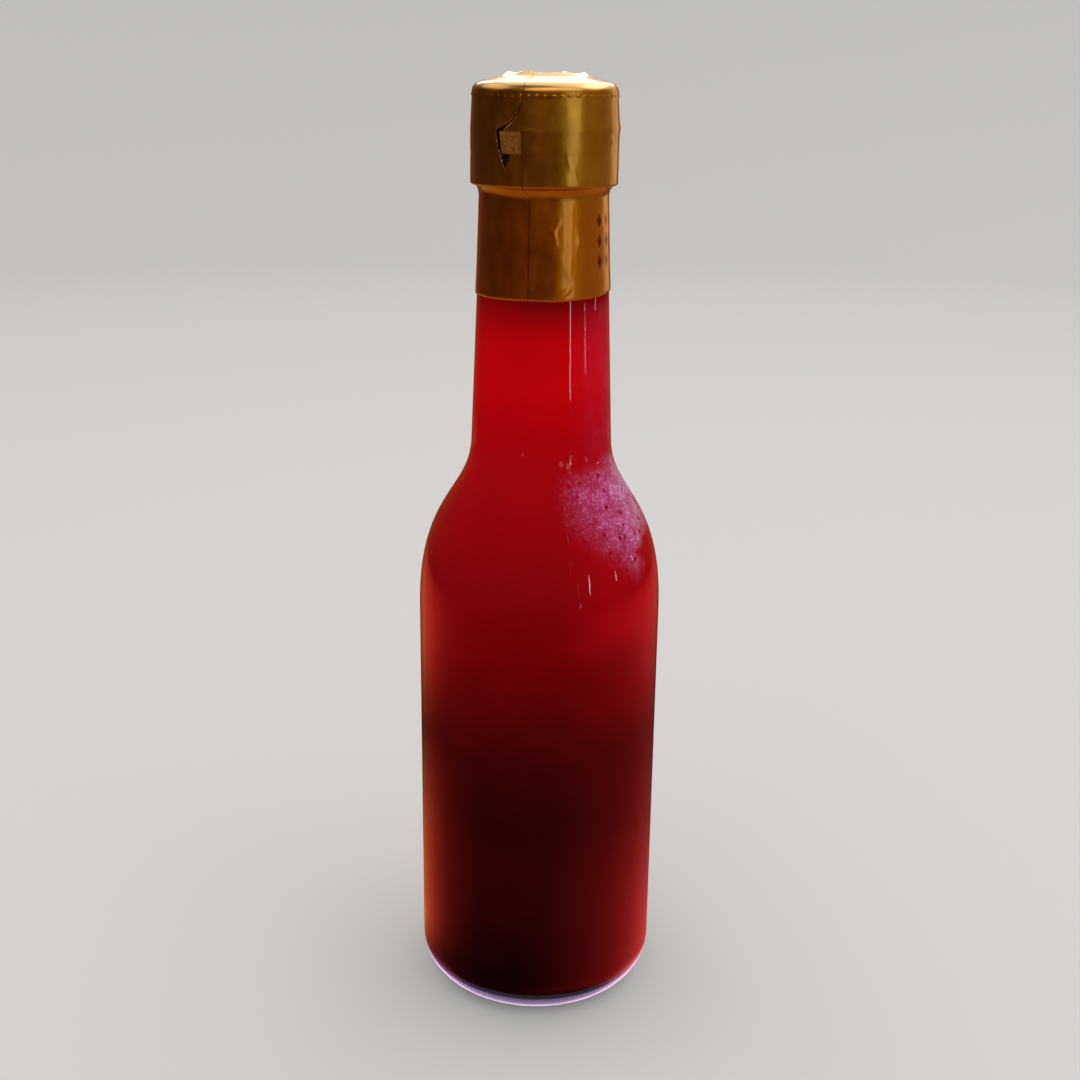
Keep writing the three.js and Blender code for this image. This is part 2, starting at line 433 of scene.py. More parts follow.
# %% Finish of the glass
def glass_finish():
    made, tree, shader, output = new_material("clear_glass")
    smear = mottle(tree, 14, tallness=2.5, detail=4)["Mask"]
    ripple = mottle(tree, 9, tallness=3, detail=1)["Raw"]
    bump = add(tree, "Bump", Strength=0.05, Distance=0.3 * MM, Height=ripple)
    give(
        tree, shader, Base_Color=(0.97, 0.98, 0.98, 1), Transmission_Weight=1.0, IOR=1.5,
        Roughness=maths(tree, "MULTIPLY_ADD", smear, 0.03, 0.01), Normal=bump.outputs[0],
    )
    light = add(tree, "LightPath").outputs
    passes = maths(tree, "MAXIMUM", light["Is Shadow Ray"], light["Is Diffuse Ray"])
    mix_shaders(tree, output, passes, shader, add(tree, "BsdfTransparent"))
    return made


glass_shape = turned(glass_profile, GLASS_SEGMENTS)
glass_piece = finished("bottle_glass", glass_shape, glass_finish(), "bottle")

# %% [markdown]
# ## The juice
# The drink fills the glass, and no air shows between them, so its surface reaches a little way into the wall.
# Its level is behind the capsule, where it climbs slightly at the glass.

# %% Shape of the juice
OVERLAP = 0.15 * MM  # how far the drink reaches into the wall
FILL_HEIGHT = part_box("juice")[1].z
MENISCUS = 1.2 * MM

juice_side = inside_of_glass(-OVERLAP, FILL_HEIGHT + MENISCUS)
juice_rim = juice_side[-1].x
juice_top = curve(
    (juice_rim, FILL_HEIGHT + MENISCUS), (juice_rim - 0.5 * MENISCUS, FILL_HEIGHT),
    (juice_rim - 1.5 * MENISCUS, FILL_HEIGHT), (0, FILL_HEIGHT), 10,
)
juice_shape = turned(joined(juice_side, juice_top), GLASS_SEGMENTS)
print("level of the juice, mm:", round(FILL_HEIGHT / MM, 1))

# %% [markdown]
# Turnip juice is a cloudy red that is nearly black where it is deep. Its colour follows the height and
# carries painted light:
# the neck is painted bright, as if lit from behind, a painted shadow darkens it just under the capsule, the
# shoulder is a fuller red, and the body is darker towards the bottom. A soft mottle moves it up and down, and
# light scatters below the surface as in any cloudy drink.

# %% Finish of the juice
# Colours from the floor of the glass, 0, to the level of the juice, 1, with painted light in them: a painted
# glow in the neck, painted shade under the capsule, and darker towards the bottom
JUICE_TONES_WITH_PAINTED_LIGHT = [
    (0.00, colour(27, 3, 4)),
    (0.06, colour(30, 3, 5)),
    (0.10, colour(46, 5, 7)),
    (0.14, colour(61, 6, 8)),
    (0.20, colour(73, 7, 8)),
    (0.28, colour(67, 7, 8)),
    (0.36, colour(88, 8, 10)),
    (0.42, colour(118, 8, 12)),
    (0.52, colour(162, 5, 15)),
    (0.66, colour(184, 3, 18)),
    (0.82, colour(242, 2, 20)),
    (0.87, colour(234, 2, 19)),
    (0.92, colour(190, 2, 14)),
    (1.00, colour(130, 2, 10)),
]
DRIFT = 14 * MM  # how far the mottle moves the colours
# A patch of painted light on the right of the shoulder, brighter as if light fell through the drink there,
# from nothing to full and again from its other side
PAINTED_GLOW, PAINTED_GLOW_SHARE = colour(220, 5, 22), 0.5
PAINTED_GLOW_ANGLES = [(5, 45), (140, 100)]  # degrees from the front
PAINTED_GLOW_HEIGHTS = [(0.48, 0.55), (0.70, 0.63)]  # shares of the level
SCATTER = 6 * MM  # how far light travels in the drink
SCATTER_TINT = (1.0, 0.2, 0.15)  # red goes farthest


def juice_finish():
    made, tree, shader, _ = new_material("cloudy_red_juice")
    where = place(tree)
    drift = maths(tree, "SUBTRACT", mottle(tree, 16, tallness=0.8, detail=2)["Raw"], 0.5)
    height = maths(tree, "ADD", where["Height"], times(tree, drift, DRIFT))
    share = maths(tree, "DIVIDE", height, FILL_HEIGHT)
    # painted light: a brighter patch on the right of the shoulder, where light falls through the drink
    masks = [fade(tree, where["Angle"], *ends) for ends in PAINTED_GLOW_ANGLES]
    masks += [fade(tree, share, *ends) for ends in PAINTED_GLOW_HEIGHTS]
    painted_glow = times(tree, *masks, PAINTED_GLOW_SHARE)
    give(
        tree, shader, Base_Color=blend_colours(tree, painted_glow, colour_ramp(tree, share, JUICE_TONES_WITH_PAINTED_LIGHT), PAINTED_GLOW),
        Roughness=0.6, Specular_IOR_Level=0.0, Subsurface_Weight=1.0,
        Subsurface_Radius=SCATTER_TINT, Subsurface_Scale=SCATTER,
    )
    return made


finished("juice_fill", juice_shape, juice_finish(), "juice")

# %% [markdown]
# ## The gold capsule
# A sleeve of gold film is slipped over the cap and shrunk with heat. It hugs the neck, hollows out under the
# cap, runs up the cap's side past the tear strip and closes over the top, where it has drawn up into lumps.
# First comes an even, turned surface, with its rings of points closest together where the detail is finest.

# %% Turned form of the capsule
CAPSULE_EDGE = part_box("capsule")[0].z
STRIP_LOW, STRIP_HIGH = (corner.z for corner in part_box("tear_tab"))
CAPSULE_RADIUS = 14.55 * MM
CROWN_RADIUS = 14.25 * MM
CROWN_HEIGHT = 191.9 * MM
CROWN_ROUNDING = 2.1 * MM
CROWN_TURN = 78  # degrees that the rounding turns before the sloping top begins
RAISED_RADIUS = 7.6 * MM
TOP_HEIGHT = 195.5 * MM
RAISED_STEP = 0.6 * MM
FILM = 0.14 * MM
SKIN = 0.3 * MM  # from the glass or the cap to the outside of the film
TUCK = 2.5 * MM
TURN = 0.5 * MM  # rounding of the film at the cap's lower edge
HOLLOW = 0.55  # fullness of the hollow under the cap, close to a quarter ellipse
BEADS = 57  # pressed beads round the crown
BEAD_HEIGHT = 191.45 * MM
BEAD_ZONE = 0.6 * MM
CAPSULE_SEGMENTS = 5 * BEADS


def capsule_profile():
    tuck_height = CAP_BASE - TUCK
    tuck_radius = neck_radius(tuck_height) + SKIN
    under = CAP_BASE - SKIN
    turn_radius = CAPSULE_RADIUS - TURN
    rise, reach = under - tuck_height, turn_radius - tuck_radius
    below_beads = (CROWN_RADIUS, BEAD_HEIGHT - BEAD_ZONE)
    raised_edge = (RAISED_RADIUS + 1.5 * RAISED_STEP, TOP_HEIGHT - RAISED_STEP)
    crown = arc((CROWN_RADIUS - CROWN_ROUNDING, CROWN_HEIGHT), CROWN_ROUNDING, 0, CROWN_TURN, 10)
    return joined(
        straight((neck_radius(CAPSULE_EDGE) + SKIN, CAPSULE_EDGE), (tuck_radius, tuck_height), 40),
        curve(
            (tuck_radius, tuck_height), (tuck_radius, tuck_height + HOLLOW * rise),
            (turn_radius - HOLLOW * reach, under), (turn_radius, under), 10,
        ),
        arc((turn_radius, under + TURN), TURN, -90, 0, 5),
        straight((CAPSULE_RADIUS, under + TURN), (CAPSULE_RADIUS, STRIP_LOW), 12),
        straight((CAPSULE_RADIUS, STRIP_LOW), (CAPSULE_RADIUS, STRIP_HIGH), 12),
        straight((CAPSULE_RADIUS, STRIP_HIGH), below_beads, 18),
        straight(below_beads, (CROWN_RADIUS, CROWN_HEIGHT), 9),
        crown,
        straight(crown[-1], raised_edge, 8),
        straight(raised_edge, (RAISED_RADIUS, TOP_HEIGHT), 5),
        straight((RAISED_RADIUS, TOP_HEIGHT), (0, TOP_HEIGHT), 10),
    )


capsule_shape = turned(capsule_profile(), CAPSULE_SEGMENTS)
print("capsule faces:", len(capsule_shape.faces))

# %% [markdown]
# The film is far from even. Just above the tear strip it flares to a fold that stands out most on the right,
# beads are pressed in round the crown, a side seam laps over itself, and soft creases run down the sleeve.
# Each of these is a small push of the points outwards, as a sculptor's thumb would give.

# %% Push the film into folds, beads and creases
SEAM_ANGLE = -16.6  # degrees from the front, on the cap
SLEEVE_SEAM_ANGLE = -12.3  # the seam jogs under the cap
SEAM_STEP, SEAM_REACH = 0.08 * MM, 14  # its height, and the degrees in which it sinks back
SEAM_ABOVE_STRIP = 0.15  # the share of the step that is left there
FOLD_HEIGHT = STRIP_HIGH + 0.15 * MM
FOLD_ANGLE, FOLD_SPREAD = 70, 42
FOLD_LEAST, FOLD_MORE = 0.04 * MM, 0.26 * MM
FOLD_ABOVE, FOLD_BELOW = 1.5 * MM, 0.8 * MM  # how far it reaches
STRIP_STEP = 0.02 * MM
GROOVE_DEPTH, GROOVE_WIDTH = 0.025 * MM, 0.3 * MM
BEAD_SIZE = 0.17 * MM
BEAD_LIFT = 0.18 * MM
BROAD_WAVES, RIPPLES, PLEATS = 0.08 * MM, 0.022 * MM, 0.1 * MM  # the unevenness of side and top
EDGE_ANGLE, EDGE_SPREAD = 100, 50
EDGE_RISE, EDGE_WAVE, EDGE_REACH = 1.0 * MM, 0.12 * MM, 6 * MM
PER_DEGREE = CAPSULE_RADIUS * math.radians(1)

# Creases as (angle, height in mm) of both ends, then how far they stand out and how wide they are
CREASES = [
    ((12.7, 168.5), (8.2, 166.7), 0.09 * MM, 0.45 * MM),
    ((8.2, 166.7), (10.5, 164.2), 0.09 * MM, 0.45 * MM),
    ((8.6, 153.4), (21.6, 155.6), 0.14 * MM, 0.35 * MM),
    ((24.0, 171), (22.0, 158), 0.05 * MM, 0.6 * MM),
    ((17.0, 180.4), (20.0, 178.2), 0.05 * MM, 0.25 * MM),
    ((22.0, 178.6), (24.0, 176.8), 0.05 * MM, 0.25 * MM),
    ((-11.0, 180.8), (-7.0, 182.2), 0.06 * MM, 0.3 * MM),
    ((-9.0, 180.2), (-5.0, 181.6), 0.05 * MM, 0.25 * MM),
    ((46, 171), (60, 168), 0.06 * MM, 0.4 * MM),
    ((52, 158), (66, 161), 0.06 * MM, 0.4 * MM),
    ((-60, 168), (-55, 156), 0.05 * MM, 0.8 * MM),
    ((110, 170), (118, 154), 0.09 * MM, 0.6 * MM),
    ((150, 182), (163, 176), 0.08 * MM, 0.4 * MM),
    ((-140, 171), (-150, 158), 0.09 * MM, 0.6 * MM),
    ((-120, 187), (-108, 179), 0.08 * MM, 0.4 * MM),
]

# Lumps on the edge of the raised top: angle from the front, and height
LUMPS = [(-27, 0.5 * MM), (-72, 0.25 * MM), (84, 0.3 * MM), (150, 0.35 * MM)]
LUMP_SPREAD = 10  # degrees
LUMP_REACH = 1.6 * MM


def between_angles(angle, other):
    """Degrees from one angle to another, the short way round."""
    return (angle - other + 180) % 360 - 180


def bell(distance, width):
    return math.exp(-((distance / width) ** 2))


def clamped(share):
    return min(max(share, 0), 1)


def nearest_on(point, a, b):
    """The point nearest by on the line from a to b."""
    return a.lerp(b, clamped(geometry.intersect_point_line(point, a, b)[1]))


def seam_angle(height):
    """The seam's angle from the front at a height: it jogs in the hollow under the cap."""
    return SEAM_ANGLE + (SLEEVE_SEAM_ANGLE - SEAM_ANGLE) * clamped((CAP_BASE - height) / TUCK)


def crease_lift(angle, height):
    here = Vector((0, height))
    lift = 0
    for (angle_a, mm_a), (angle_b, mm_b), rise, width in CREASES:
        a = Vector((between_angles(angle_a, angle) * PER_DEGREE, mm_a * MM))
        b = Vector((between_angles(angle_b, angle) * PER_DEGREE, mm_b * MM))
        lift += rise * bell((here - nearest_on(here, a, b)).length, width)
    return lift


def fold_lift(angle, height):
    """The fold above the tear strip: a short flare that ends in a small step."""
    most = FOLD_LEAST + FOLD_MORE * bell(between_angles(angle, FOLD_ANGLE), FOLD_SPREAD)
    reach = FOLD_ABOVE if height > FOLD_HEIGHT else FOLD_BELOW
    return most * math.exp(-abs(height - FOLD_HEIGHT) / reach)


def strip_lift(height):
    """The strip stands out a little, with a fine groove along its lower edge."""
    step = STRIP_STEP if STRIP_LOW < height < STRIP_HIGH else 0
    return step - GROOVE_DEPTH * bell(height - STRIP_LOW, GROOVE_WIDTH)


def side_lift(angle, height):
    past_seam = between_angles(angle, seam_angle(height))
    seam = SEAM_STEP * math.exp(-past_seam / SEAM_REACH) if past_seam > 0 else 0
    if height > STRIP_HIGH:
        seam *= SEAM_ABOVE_STRIP
    bead = max(math.cos(math.radians(BEADS * angle)), 0) ** 2 * bell(height - BEAD_HEIGHT, BEAD_SIZE)
    broad = noise.noise(outwards(angle) * 3 + Vector((0, 0, height * 90))) * BROAD_WAVES
    ripple = noise.noise(Vector((angle / 9, 4, height / (2.6 * MM)))) * RIPPLES
    relief = crease_lift(angle, height) + fold_lift(angle, height) + strip_lift(height)
    return seam + bead * BEAD_LIFT + relief + broad + ripple


def top_lift(angle, radius):
    nearness = max(1 - abs(radius - RAISED_RADIUS) / LUMP_REACH, 0)
    lumps = sum(h * bell(between_angles(angle, a), LUMP_SPREAD) for a, h in LUMPS)
    slope = clamped((CROWN_RADIUS - radius) / (CROWN_RADIUS - RAISED_RADIUS))
    pleat = noise.noise(outwards(angle) * 5 + Vector((0, 0, radius * 200)))
    return nearness * lumps + slope * pleat * PLEATS


def edge_lift(angle, height):
    """The lower edge was cut askew: it is highest on the right."""
    nearness = max(1 - (height - CAPSULE_EDGE) / EDGE_REACH, 0)
    wave = EDGE_WAVE * noise.noise(outwards(angle) * 2.2)
    return nearness * (EDGE_RISE * bell(between_angles(angle, EDGE_ANGLE), EDGE_SPREAD) + wave)


for point in capsule_shape.verts:
    around, distance = angle_of(point.co), point.co.xy.length
    point.co.z += edge_lift(around, point.co.z)
    if point.co.z <= CROWN_HEIGHT + HAIR:
        point.co += outwards(around) * side_lift(around, point.co.z)
    else:
        point.co.z += top_lift(around, distance)
print("creases:", len(CREASES), "lumps:", len(LUMPS), "beads:", BEADS)

# %% [markdown]
# Somebody has pulled at the tear strip. The film has torn away round its end, split downwards to a point, and
# cracked upwards along a curve to the seam. The outline of the tear is drawn flat, in millimetres from the
# seam and from the middle of the strip. Each of its edges cuts the film with a plane, and what lies inside
# the outline is deleted.

# %% Tear the film open
STRIP_MIDDLE = (STRIP_LOW + STRIP_HIGH) / 2
TEAR = [
    (-0.22, -2.15), (-0.22, 2.15), (-4.10, 2.20),
    (-3.20, 3.02), (-2.00, 3.97), (-0.98, 5.30), (-0.38, 7.20), (-0.30, 8.90),
    (-0.52, 7.30), (-1.16, 5.55), (-2.18, 4.28), (-3.36, 3.36), (-4.60, 2.80),
    (-5.45, 2.33), (-5.59, 0.95), (-5.12, -0.89), (-4.50, -2.48), (-3.93, -4.10),
    (-3.63, -4.78), (-3.22, -4.04), (-2.67, -2.65), (-2.30, -2.15),
]


def laid_flat(point):
    """Millimetres from the seam and from the middle of the strip, for a point on the capsule."""
    along = between_angles(angle_of(point), SEAM_ANGLE) * PER_DEGREE
    return Vector((along, point.z - STRIP_MIDDLE)) / MM


def wrapped(flat, radius=CAPSULE_RADIUS):
    """The point on the capsule for a flat one in millimetres."""
    angle = SEAM_ANGLE + flat[0] * MM / PER_DEGREE
    return outwards(angle) * radius + Vector((0, 0, STRIP_MIDDLE + flat[1] * MM))


def is_inside(flat, outline):
    inside = False
    for (ax, ay), (bx, by) in zip(outline, outline[1:] + outline[:1]):
        if (ay > flat.y) != (by > flat.y) and flat.x < ax + (bx - ax) * (flat.y - ay) / (by - ay):
            inside = not inside
    return inside


def cut_along(shape, a, b, margin=0.4):
    """Cuts the faces near the flat line from a to b by a plane through it."""
    low = Vector(map(min, a, b)) - Vector((margin, margin))
    high = Vector(map(max, a, b)) + Vector((margin, margin))
    near = []
    for face in shape.faces:
        centre = laid_flat(face.calc_center_median())
        if low.x < centre.x < high.x and low.y < centre.y < high.y:
            near.append(face)
    edges = {e for f in near for e in f.edges}
    points = {v for f in near for v in f.verts}
    start, end = wrapped(a), wrapped(b)
    side = (end - start).cross(outwards(angle_of(start.lerp(end, 0.5)))).normalized()
    bmesh.ops.bisect_plane(
        shape, geom=[*near, *edges, *points], dist=HAIR, plane_co=start, plane_no=side,
    )


for a, b in zip(TEAR, TEAR[1:] + TEAR[:1]):
    cut_along(capsule_shape, a, b)
torn = [f for f in capsule_shape.faces if is_inside(laid_flat(f.calc_center_median()), TEAR)]
bmesh.ops.delete(capsule_shape, geom=torn, context="FACES")
print("torn faces:", len(torn))

# %% [markdown]
# Torn film does not lie flat: its free edge left of the tab curls outwards and catches the light.

# %% Curl the torn edge
CURL_EDGE = TEAR[11:19]
CURL_LIFT = 0.09 * MM
CURL_WIDTH = 0.45  # mm


def distance_to(flat, path):
    """Distance from a flat point to a path, in millimetres."""
    corners = [Vector(corner) for corner in path]
    return min((flat - nearest_on(flat, a, b)).length for a, b in zip(corners, corners[1:]))


right_of_gap = [(0, -7), (0, 9), *TEAR[8:18]]
for point in capsule_shape.verts:
    flat = laid_flat(point.co)
    if -8 < flat.x < 0 and -6 < flat.y < 5 and not is_inside(flat, right_of_gap):
        curl = bell(distance_to(flat, CURL_EDGE), CURL_WIDTH)
        point.co += outwards(angle_of(point.co)) * CURL_LIFT * curl
print("the torn edge curls out by", round(CURL_LIFT / MM, 2), "mm")

# %% [markdown]
# The finish is a satin metal film. Its gold is not one colour: the sleeve is painted redder, a painted
# reflection of the red drink, the crown is painted pale, a painted highlight, and a tall, soft mottle runs
# through it all. The gloss varies with it, and a fine orange-peel breaks up the highlights. A thin dark line
# follows the seam, and small dark red lozenges are printed on the right of the sleeve.

# %% Finish of the film
PRINT_LEFT, PRINT_RIGHT = 49, 101  # degrees from the front
PRINT_LOW, PRINT_HIGH = 158.6 * MM, 170.3 * MM
PRINT_COLUMN, PRINT_ROW = 13, 3.9 * MM  # from one lozenge to the next
LOZENGE_WIDTH, LOZENGE_HEIGHT = 0.5, 0.74  # share of the column and the row that a lozenge takes up
GOLDS = [colour(196, 140, 44), colour(180, 118, 26)]
# What is laid over the gold: how much of it, and its colour
# painted reflection: the sleeve is tinted redder, as if it mirrored the red drink below it
SLEEVE_REFLECTION_TINT = 0.75, colour(212, 117, 18)
# painted highlight: the crown is tinted pale where the light blows it out
CROWN_HIGHLIGHT_TINT = 0.7, colour(255, 240, 206)
SEAM_TINT = 0.7, colour(48, 18, 6)
PRINT_TINT = 0.85, colour(104, 14, 8)
CROWN_HIGHLIGHT_HEIGHTS = 192.2 * MM, 194.0 * MM
SEAM_HEIGHTS = [(179.2 * MM, 178 * MM), (191 * MM, 192 * MM)]  # the line shows below and above these
SEAM_LINE = 0.6, 0.15  # degrees from the seam to where the line ends and to where it is full


def lozenges(tree, angle, height):
    """A mask of small printed lozenges in rows and columns on the right of the sleeve."""
    reach, inside = [], []
    for value, step, fullness, first, last in (
        (angle, PRINT_COLUMN, LOZENGE_WIDTH, PRINT_LEFT, PRINT_RIGHT),
        (height, PRINT_ROW, LOZENGE_HEIGHT, PRINT_LOW, PRINT_HIGH),
    ):
        from_gap = maths(tree, "PINGPONG", maths(tree, "SUBTRACT", value, first), step / 2)
        from_middle = maths(tree, "SUBTRACT", 1.0, maths(tree, "DIVIDE", from_gap, step / 2))
        reach.append(maths(tree, "DIVIDE", from_middle, fullness))
        inside += [maths(tree, "GREATER_THAN", value, first), maths(tree, "LESS_THAN", value, last)]
    return times(tree, fade(tree, maths(tree, "ADD", *reach), 1.08, 0.92), *inside)


def gold_finish():
    made, tree, shader, _ = new_material("gold_film")
    where = place(tree)
    angle, height = where["Angle"], where["Height"]
    # a painted reflection of the red drink on the sleeve, and a painted highlight on the crown
    sleeve_reflection = fade(tree, height, CAP_BASE + 1 * MM, CAP_BASE - 6 * MM)
    crown_highlight = fade(tree, height, *CROWN_HIGHLIGHT_HEIGHTS)
    on_sleeve = fade(tree, height, CAP_BASE, CAP_BASE - TUCK)
    seam_at = maths(tree, "MULTIPLY_ADD", on_sleeve, SLEEVE_SEAM_ANGLE - SEAM_ANGLE, SEAM_ANGLE)
    beside_seam = maths(tree, "ABSOLUTE", maths(tree, "SUBTRACT", angle, seam_at))
    line_shows = maths(tree, "MAXIMUM", *(fade(tree, height, *ends) for ends in SEAM_HEIGHTS))
    seam_line = times(tree, fade(tree, beside_seam, *SEAM_LINE), line_shows)
    printed = lozenges(tree, angle, height)
    gold = blend_colours(tree, mottle(tree, 5, tallness=3, detail=3)["Mask"], *GOLDS)
    for mask, (share, tone) in (
        (sleeve_reflection, SLEEVE_REFLECTION_TINT), (crown_highlight, CROWN_HIGHLIGHT_TINT), (seam_line, SEAM_TINT), (printed, PRINT_TINT),
    ):
        gold = blend_colours(tree, times(tree, mask, share), gold, tone)
    dull = mottle(tree, 2.5, tallness=2, detail=4)["Mask"]
    peel = mottle(tree, 0.4, tallness=1.5, detail=2)["Raw"]
    bump = add(tree, "Bump", Strength=0.14, Distance=0.1 * MM, Height=peel)
    give(
        tree, shader, Base_Color=gold, Metallic=1.0, Normal=bump.outputs[0],
        Roughness=maths(tree, "MULTIPLY_ADD", dull, 0.12, 0.27),
        Coat_Weight=maths(tree, "MULTIPLY_ADD", printed, -0.7, 0.7), Coat_Roughness=0.08,
    )
    return made


capsule_piece = finished(
    "gold_capsule", capsule_shape, gold_finish(), "capsule", sharp=50, wall=FILM,
)

# %% [markdown]
# ## The end of the tear strip
# In the tear lies the loose end of the strip, a small square whose plain, grainy side shows. It starts as a
# grid, its left edge is cut askew, and it is wrapped round the cap with a slight lift at its free corner.

# %% Shape of the strip's end
TAB_LEFT, TAB_RIGHT = -4.82, -0.28  # mm from the seam
TAB_SKEW = 0.26
TAB_HALF = 2.03
TAB_THICKNESS = 0.15 * MM
TAB_GRAIN = 0.03 * MM
TAB_LIFT = 0.16 * MM  # of its free corner

tab_shape = bmesh.new()
bmesh.ops.create_grid(tab_shape, x_segments=40, y_segments=36, size=0.5)
for point in tab_shape.verts:
    across, up = point.co.x + 0.5, point.co.y * 2
    left = TAB_LEFT + TAB_SKEW * (1 - up)
    flat = (left + (TAB_RIGHT - left) * across, up * TAB_HALF)
    grain = noise.noise(Vector((*flat, 0)) * 3.2) * TAB_GRAIN
    corner = (1 - across) ** 4 * (1 + up) / 2 * TAB_LIFT
    point.co = wrapped(flat, CAPSULE_RADIUS + grain + corner)
bmesh.ops.recalc_face_normals(tab_shape, faces=tab_shape.faces)
print("end of the strip, mm across:", round(TAB_RIGHT - TAB_LEFT, 2))

# %% [markdown]
# The strip's plain side is like paper: two browns in patches, a pale grain on top, and hardly any gloss.

# %% Finish of the strip's end
def tab_finish():
    made, tree, shader, _ = new_material("grainy_strip")
    patches = mottle(tree, 0.9, detail=4, low=0.35, high=0.65)["Mask"]
    paper = blend_colours(tree, patches, colour(128, 78, 24), colour(94, 54, 14))
    grain = mottle(tree, 0.22, detail=2, low=0.5, high=0.75)["Mask"]
    paper = blend_colours(tree, times(tree, grain, 0.5), paper, colour(186, 136, 66))
    bump = add(tree, "Bump", Strength=0.5, Distance=0.08 * MM, Height=mottle(tree, 0.3, detail=3)["Raw"])
    give(
        tree, shader, Base_Color=paper, Metallic=0.3, Specular_IOR_Level=0.2, Normal=bump.outputs[0],
        Roughness=maths(tree, "MULTIPLY_ADD", patches, 0.25, 0.45),
    )
    return made


tab_piece = finished("strip_end", tab_shape, tab_finish(), "tear_tab", wall=TAB_THICKNESS)

# %% [markdown]
# ## The cap
# Through the tear shows a little of the screw cap, so its solid stays as it is and only gets a finish: dark
# moulded plastic with a faint unevenness.

# %% Finish of the cap
def cap_finish():
    made, tree, shader, _ = new_material("dark_cap")
    patches = mottle(tree, 1.5, detail=3)["Mask"]
    tone = blend_colours(tree, patches, colour(34, 20, 12), colour(20, 11, 7))
    give(tree, shader, Base_Color=tone, Roughness=maths(tree, "MULTIPLY_ADD", patches, 0.2, 0.45))
    return made


cap_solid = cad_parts["cap"]
cap_solid.data.materials.clear()
cap_solid.data.materials.append(cap_finish())
print("cap keeps its solid")

# %% [markdown]
# ## Mist on the shoulder
# The bottle is cold, and breath-fine condensation has settled on the right of its shoulder. It lies on the
# glass as a thin film that is open where drops have run together. The film is the glass's own profile moved
# out by a hair and spun part of the way round.

# %% Shape of the mist
MIST_LOW, MIST_HIGH = 84 * MM, 152.5 * MM
MIST_LEFT, MIST_RIGHT = 0, 140  # degrees from the front
MIST_LIFT = 0.04 * MM
MIST_FILM = 0.02 * MM

mist_profile = cut_at(moved_sideways(glass_side, MIST_LIFT), MIST_LOW, MIST_HIGH)
mist_shape = turned(mist_profile, 80, MIST_LEFT, MIST_RIGHT)
first_face = mist_shape.faces[:][0]
if first_face.normal.dot(first_face.calc_center_median()) < 0:
    bmesh.ops.reverse_faces(mist_shape, faces=mist_shape.faces)
print("mist from", MIST_LEFT, "to", MIST_RIGHT, "degrees")

# %% [markdown]
# Seen close, mist is a crowd of tiny drops, so a Voronoi pattern puts one in each of its cells. Clouds make
# it thicker and thinner, and round holes are open where drops have run together. Low on the right a patch is
# wiped clear. Towards the right the mist is given a whiter colour, a painted highlight where light catches
# it.
# Where the mist is open, its film has no opacity at all.

# %% Finish of the mist
MIST_MIDDLE = 55  # degrees from the front: where the mist reaches lowest
MIST_FLOOR, MIST_CLIMB = 100.5 * MM, 0.28 * MM  # its lowest height, and how it climbs with each degree
MIST_CEILING, CEILING_RISE = 117.5 * MM, 2.5 * MM  # its upper edge, and how much higher that is on the right
WIPE_ANGLE, WIPE_HALF_ANGLE = 72, 15.6  # degrees: the middle of the wiped patch, and half its width
WIPE_HEIGHT, WIPE_HALF_HEIGHT = 101.6 * MM, 4.4 * MM
NECK_HAZE = 0.06
DROP_CROWD, HOLE_CROWD = 1.4 / MM, 0.42 / MM  # how many lie along a metre
MIST_TONES = [colour(255, 108, 204), colour(255, 168, 234)]  # between drops, and on them
# painted highlight: the mist turns whiter towards the right, where the light catches it
MIST_HIGHLIGHT, MIST_HIGHLIGHT_SHARE = colour(255, 224, 248), 0.6  # on the right


def mist_area(tree, angle, height):
    """Where the mist lies: on the right of the shoulder, but for the wiped patch, and faintly on the neck."""
    upper_edge = maths(tree, "MULTIPLY_ADD", fade(tree, angle, 25, 85), CEILING_RISE, MIST_CEILING)
    upper = fade(tree, maths(tree, "SUBTRACT", height, upper_edge), 4 * MM, -4 * MM)
    from_middle = maths(tree, "ABSOLUTE", maths(tree, "SUBTRACT", angle, MIST_MIDDLE))
    low_edge = maths(tree, "MULTIPLY_ADD", from_middle, MIST_CLIMB, MIST_FLOOR)
    lower = fade(tree, maths(tree, "SUBTRACT", height, low_edge), -5 * MM, 6 * MM)
    thicker = maths(tree, "MULTIPLY_ADD", fade(tree, angle, 25, 75), 0.62, 0.38)
    far_side = fade(tree, angle, 132, 84)
    across = maths(tree, "DIVIDE", maths(tree, "SUBTRACT", angle, WIPE_ANGLE), WIPE_HALF_ANGLE)
    along = maths(tree, "DIVIDE", maths(tree, "SUBTRACT", height, WIPE_HEIGHT), WIPE_HALF_HEIGHT)
    squares = [times(tree, across, across), times(tree, along, along)]
    from_wipe = maths(tree, "SQRT", maths(tree, "ADD", *squares))
    uneven = maths(tree, "MULTIPLY_ADD", mottle(tree, 3, detail=3)["Raw"], 1.2, -0.6)
    unwiped = fade(tree, maths(tree, "ADD", from_wipe, uneven), 0.6, 1.3)
    main = times(tree, fade(tree, angle, 6, 36), thicker, lower, upper, far_side, unwiped)
    neck = times(tree, fade(tree, angle, 16, 74), fade(tree, height, 114 * MM, 128 * MM), NECK_HAZE)
    return maths(tree, "MAXIMUM", main, times(tree, neck, far_side))


